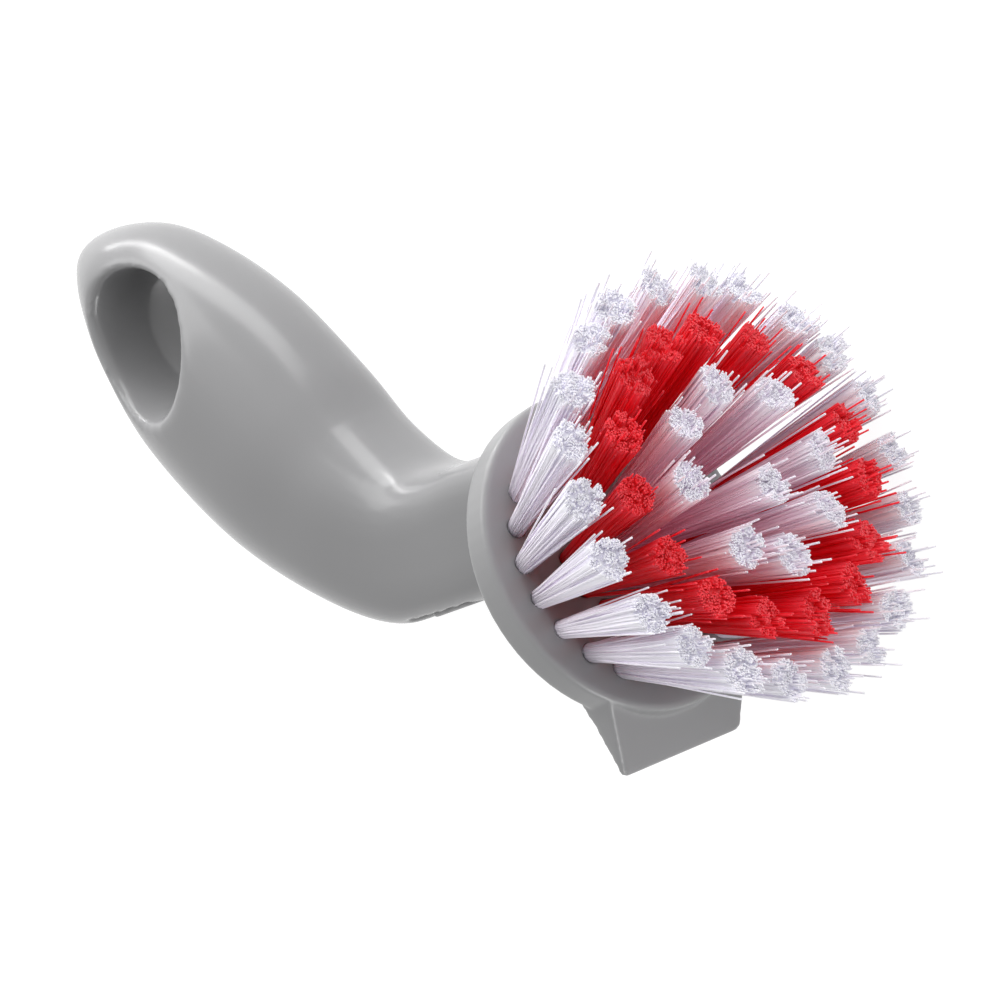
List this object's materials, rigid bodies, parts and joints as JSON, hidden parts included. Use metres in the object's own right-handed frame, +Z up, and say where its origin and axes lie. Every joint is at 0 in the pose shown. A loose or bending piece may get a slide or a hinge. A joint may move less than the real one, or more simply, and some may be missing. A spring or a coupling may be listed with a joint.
{
  "type": "hand brush",
  "caption": "Kitchen hand brush lying on its side: palm-shaped grey handle with a hanging hole, round head with a wedge scraper, fanned rings of white and red bristles.",
  "frame": {"origin": "middle of the brush's bounding box, on the table it lies on", "axes": "+Z up from the table, +Y roughly the way the bristles point, +X roughly the way the scraper points"},
  "size_m": [0.135, 0.1394, 0.0685],
  "materials": {
    "grey_plastic": "smooth gloss, mid grey",
    "white_bristle": "satin, cool white filament",
    "red_bristle": "satin, clear red filament",
    "anchor_metal": "plain flat wire"
  },
  "bodies": {
    "root": {"handle": "grey_plastic", "head": "grey_plastic", "bristles_outer_white": "white_bristle", "anchor_outer_white_01": "anchor_metal", "anchor_outer_white_02": "anchor_metal", "anchor_outer_white_03": "anchor_metal", "anchor_outer_white_04": "anchor_metal", "anchor_outer_white_05": "anchor_metal", "anchor_outer_white_06": "anchor_metal", "anchor_outer_white_07": "anchor_metal", "anchor_outer_white_08": "anchor_metal", "anchor_outer_white_09": "anchor_metal", "anchor_outer_white_10": "anchor_metal", "anchor_outer_white_11": "anchor_metal", "anchor_outer_white_12": "anchor_metal", "anchor_outer_white_13": "anchor_metal", "anchor_outer_white_14": "anchor_metal", "anchor_outer_white_15": "anchor_metal", "anchor_outer_white_16": "anchor_metal", "anchor_outer_white_17": "anchor_metal", "anchor_outer_white_18": "anchor_metal", "anchor_outer_white_19": "anchor_metal", "anchor_outer_white_20": "anchor_metal", "anchor_outer_white_21": "anchor_metal", "anchor_outer_white_22": "anchor_metal", "bristles_red": "red_bristle", "anchor_red_01": "anchor_metal", "anchor_red_02": "anchor_metal", "anchor_red_03": "anchor_metal", "anchor_red_04": "anchor_metal", "anchor_red_05": "anchor_metal", "anchor_red_06": "anchor_metal", "anchor_red_07": "anchor_metal", "anchor_red_08": "anchor_metal", "anchor_red_09": "anchor_metal", "anchor_red_10": "anchor_metal", "anchor_red_11": "anchor_metal", "anchor_red_12": "anchor_metal", "anchor_red_13": "anchor_metal", "anchor_red_14": "anchor_metal", "anchor_red_15": "anchor_metal", "bristles_inner_white": "white_bristle", "anchor_inner_white_01": "anchor_metal", "anchor_inner_white_02": "anchor_metal", "anchor_inner_white_03": "anchor_metal", "anchor_inner_white_04": "anchor_metal", "anchor_inner_white_05": "anchor_metal", "anchor_inner_white_06": "anchor_metal", "anchor_inner_white_07": "anchor_metal", "anchor_inner_white_08": "anchor_metal", "bristles_centre_white": "white_bristle", "anchor_centre_white_01": "anchor_metal"}
  },
  "joints": []
}
